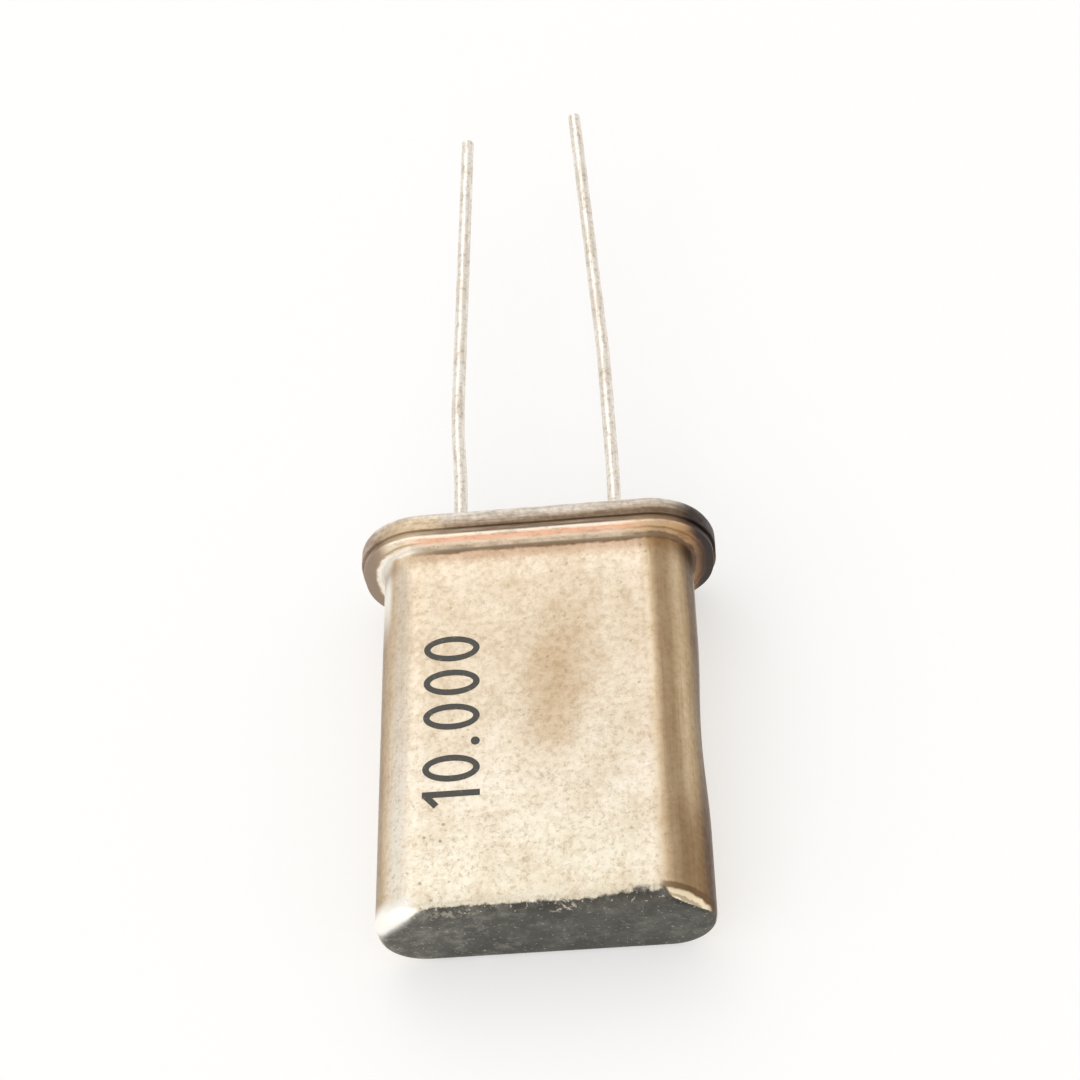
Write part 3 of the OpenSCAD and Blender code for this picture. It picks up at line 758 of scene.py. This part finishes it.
# the pieces inside the can keep their shapes and get a finish
clips = {
    "material": "clip_strip", "nodes": ("left_spring_clip", "right_spring_clip"),
    "finish": {
        "shader": {"Metallic": 1.0, "Roughness": [{"rolled": (0.3, 0.7, 0.22, 0.4)}]},
        "grains": {"rolled": (2.0, 3.0, 0.6, (1, 14, 0.6))},
        "paint": {"colour": "d9d4c8",
                  "marks": {"rolled": {"colour": "bdb6a6", "where": {"rolled": (0.35, 0.65)}}}},
        "relief": {"rolled": 1.0}, "reliefDepth": 0.003,
    },
}
quartz = {
    "material": "quartz", "nodes": ("quartz_blank",),
    "finish": {
        "shader": {"Metallic": 0.0, "Transmission Weight": 0.7, "IOR": 1.54,
                   "Roughness": [{"lapped": (0.3, 0.7, 0.25, 0.42)}]},
        "grains": {"lapped": (30.0, 3.0, 0.7)},
        "paint": {"colour": "e6eeee",
                  "marks": {"lapped": {"colour": "cfdcdd", "where": {"lapped": (0.35, 0.65)}}}},
        "relief": {"lapped": 1.0}, "reliefDepth": 0.002,
    },
}
electrodes = {
    "material": "silver_film", "nodes": ("front_electrode", "rear_electrode"),
    "finish": {
        "shader": {"Metallic": 1.0, "Roughness": [{"cloud": (0.3, 0.7, 0.16, 0.28)}]},
        "grains": {"cloud": (1.4, 3.0, 0.6), "lapped": (30.0, 3.0, 0.7)},
        "paint": {"colour": "f1f0ec",
                  "marks": {"cloud": {"colour": "dcd9d0", "where": {"cloud": (0.35, 0.7)}}}},
        "relief": {"lapped": 1.0}, "reliefDepth": 0.0015,
    },
}
cement = {
    "material": "silver_cement", "nodes": ("left_cement_bead", "right_cement_bead"),
    "finish": {
        "shader": {"Metallic": 0.35, "Roughness": [{"grain": (0.3, 0.7, 0.45, 0.7)}]},
        "grains": {"grain": (16.0, 4.0, 0.7)},
        "paint": {"colour": "8f8f8c",
                  "marks": {"grain": {"colour": "c4c3bd", "where": {"grain": (0.4, 0.65)}}}},
        "relief": {"grain": 1.0}, "reliefDepth": 0.02,
    },
}

# laid on the floor it leans, because the header's rim is thicker than the can
restSpan = can["top"] - can["endRadius"] - header["rim"]
rimHalf = can["thickness"] / 2 + header["rimReach"]
restRise = rimHalf - (can["thickness"] / 2 - can["endRadius"])
lean = atan2(restRise, restSpan) - asin(can["endRadius"] / hypot(restSpan, restRise))
lift = rimHalf * cos(lean) + header["rim"] * sin(lean)
endReach = ((can["top"] - can["endRadius"]) * cos(lean)
            + (can["thickness"] / 2 - can["endRadius"]) * sin(lean) + can["endRadius"])
shift = cadLow.y / millimetre + endReach
turnDown = radians(90) + lean
layDown = (Matrix.Scale(millimetre, 4) @ Matrix.Translation((0, shift, lift))
           @ Matrix.Rotation(turnDown, 4, "X"))

makeCan()
makeHeader()
sealGlass = makeMaterial("seal_glass", seal["finish"])
leadTin = makeMaterial("lead_wire", lead["finish"])
for name, wire in lead["wires"].items():
    makeSeal(name, wire["side"], sealGlass)
    makeLead(name, wire, leadTin)
makeFigures(makeMaterial("print_ink", figures["finish"]))
for piece in (clips, quartz, electrodes, cement):
    material = makeMaterial(piece["material"], piece["finish"])
    for node in piece["nodes"]:
        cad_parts[node].material_slots[0].material = material
print("finished the pieces inside the can")


# the room: a pale floor, a pale sky and three softboxes
room = {
    "floorHalf": 1.5, "floorColour": "fdfcfb", "floorRoughness": 0.9, "floorWhite": 0.45,
    "skyTint": (1, 0.985, 0.96, 1), "skyLow": 0.68, "skyHigh": 0.86, "skyRise": (0.0, 0.7),
    "horizon": (0.3, 0.1),
}
softboxes = {
    "back_box": {"direction": (-0.25, 0.7, 0.75), "distance": 0.9, "size": 0.54, "strength": 1.0},
    "left_box": {"direction": (-0.8, -0.35, 0.6), "distance": 0.8, "size": 0.46, "strength": 0.8},
    "front_box": {"direction": (-0.3, -0.85, 0.42), "distance": 0.9, "size": 0.84,
                  "strength": 0.95},
}


def seenDirectly(tree):
    # 1 for the camera and for what metal and glass show, 0 for the light that falls on things
    rays = addNode(tree, "LightPath", {}).outputs
    seen = calc(tree, "MAXIMUM", rays["Is Camera Ray"], rays["Is Glossy Ray"])
    return calc(tree, "MAXIMUM", seen, rays["Is Transmission Ray"])


def makeFloor():
    mesh = bmesh.new()
    bmesh.ops.create_grid(mesh, x_segments=2, y_segments=2, size=room["floorHalf"])
    data = bpy.data.meshes.new("floor")
    mesh.to_mesh(data)
    mesh.free()
    floor = bpy.data.objects.new("floor", data)
    bpy.context.scene.collection.objects.link(floor)
    material = bpy.data.materials.new("floor_card")
    material.use_nodes = True
    tree = material.node_tree
    shader = tree.nodes["Principled BSDF"]
    shader.inputs["Base Color"].default_value = linear(room["floorColour"])
    shader.inputs["Roughness"].default_value = room["floorRoughness"]
    white = addNode(tree, "Emission", {"Color": (1, 1, 1, 1), "Strength": 1.0})
    share = product(tree, seenDirectly(tree), room["floorWhite"])
    whiter = addNode(tree, "MixShader", {0: share, 1: shader.outputs[0], 2: white.outputs[0]})
    tree.links.new(whiter.outputs[0], tree.nodes["Material Output"].inputs["Surface"])
    data.materials.append(material)


def makeSky():
    world = bpy.data.worlds.new("studio")
    bpy.context.scene.world = world
    world.use_nodes = True
    tree = world.node_tree
    place = addNode(tree, "TexCoord", {}).outputs["Generated"]
    up = addNode(tree, "SeparateXYZ", {"Vector": place}).outputs["Z"]
    level = fade(tree, up, *room["skyRise"], room["skyLow"], room["skyHigh"])
    # white along the horizon, so that the floor has no visible end
    white = product(tree, seenDirectly(tree), fade(tree, up, *room["horizon"]))
    level = total(tree, level, product(tree, white, calc(tree, "SUBTRACT", 1.0, level)))
    sky = tree.nodes["Background"]
    tree.links.new(level, sky.inputs["Strength"])
    sky.inputs["Color"].default_value = room["skyTint"]


def addSoftbox(name, box):
    # strength is how bright the box itself looks
    light = bpy.data.lights.new(name, "AREA")
    light.shape, light.size = "SQUARE", box["size"]
    light.energy = box["strength"] * pi * box["size"] ** 2
    lamp = bpy.data.objects.new(name, light)
    direction = Vector(box["direction"])
    lamp.location = direction.normalized() * box["distance"]
    lamp.rotation_euler = (-direction).to_track_quat("-Z", "Y").to_euler()
    bpy.context.scene.collection.objects.link(lamp)


makeFloor()
makeSky()
for name, box in softboxes.items():
    addSoftbox(name, box)
print("lit the room")

# the camera: its place in millimetres, its clipping in metres
view = {
    "location": (5.149, -45.300, 54.524), "target": (-0.02, -2.03, 1.6), "roll": -9.61,
    "lens": 72, "sensor": 36, "clip": (0.002, 10),
}
cameraData = bpy.data.cameras.new("camera")
cameraData.sensor_width, cameraData.lens = view["sensor"], view["lens"]
cameraData.clip_start, cameraData.clip_end = view["clip"]
camera = bpy.data.objects.new("camera", cameraData)
bpy.context.scene.collection.objects.link(camera)
location = Vector(view["location"]) * millimetre
target = Vector(view["target"]) * millimetre
aim = (target - location).to_track_quat("-Z", "Y").to_matrix().to_4x4()
roll = Matrix.Rotation(radians(view["roll"]), 4, "Z")
camera.matrix_world = Matrix.Translation(location) @ aim @ roll
bpy.context.scene.camera = camera
bpy.context.scene.view_settings.view_transform = "Standard"
print("placed the camera")
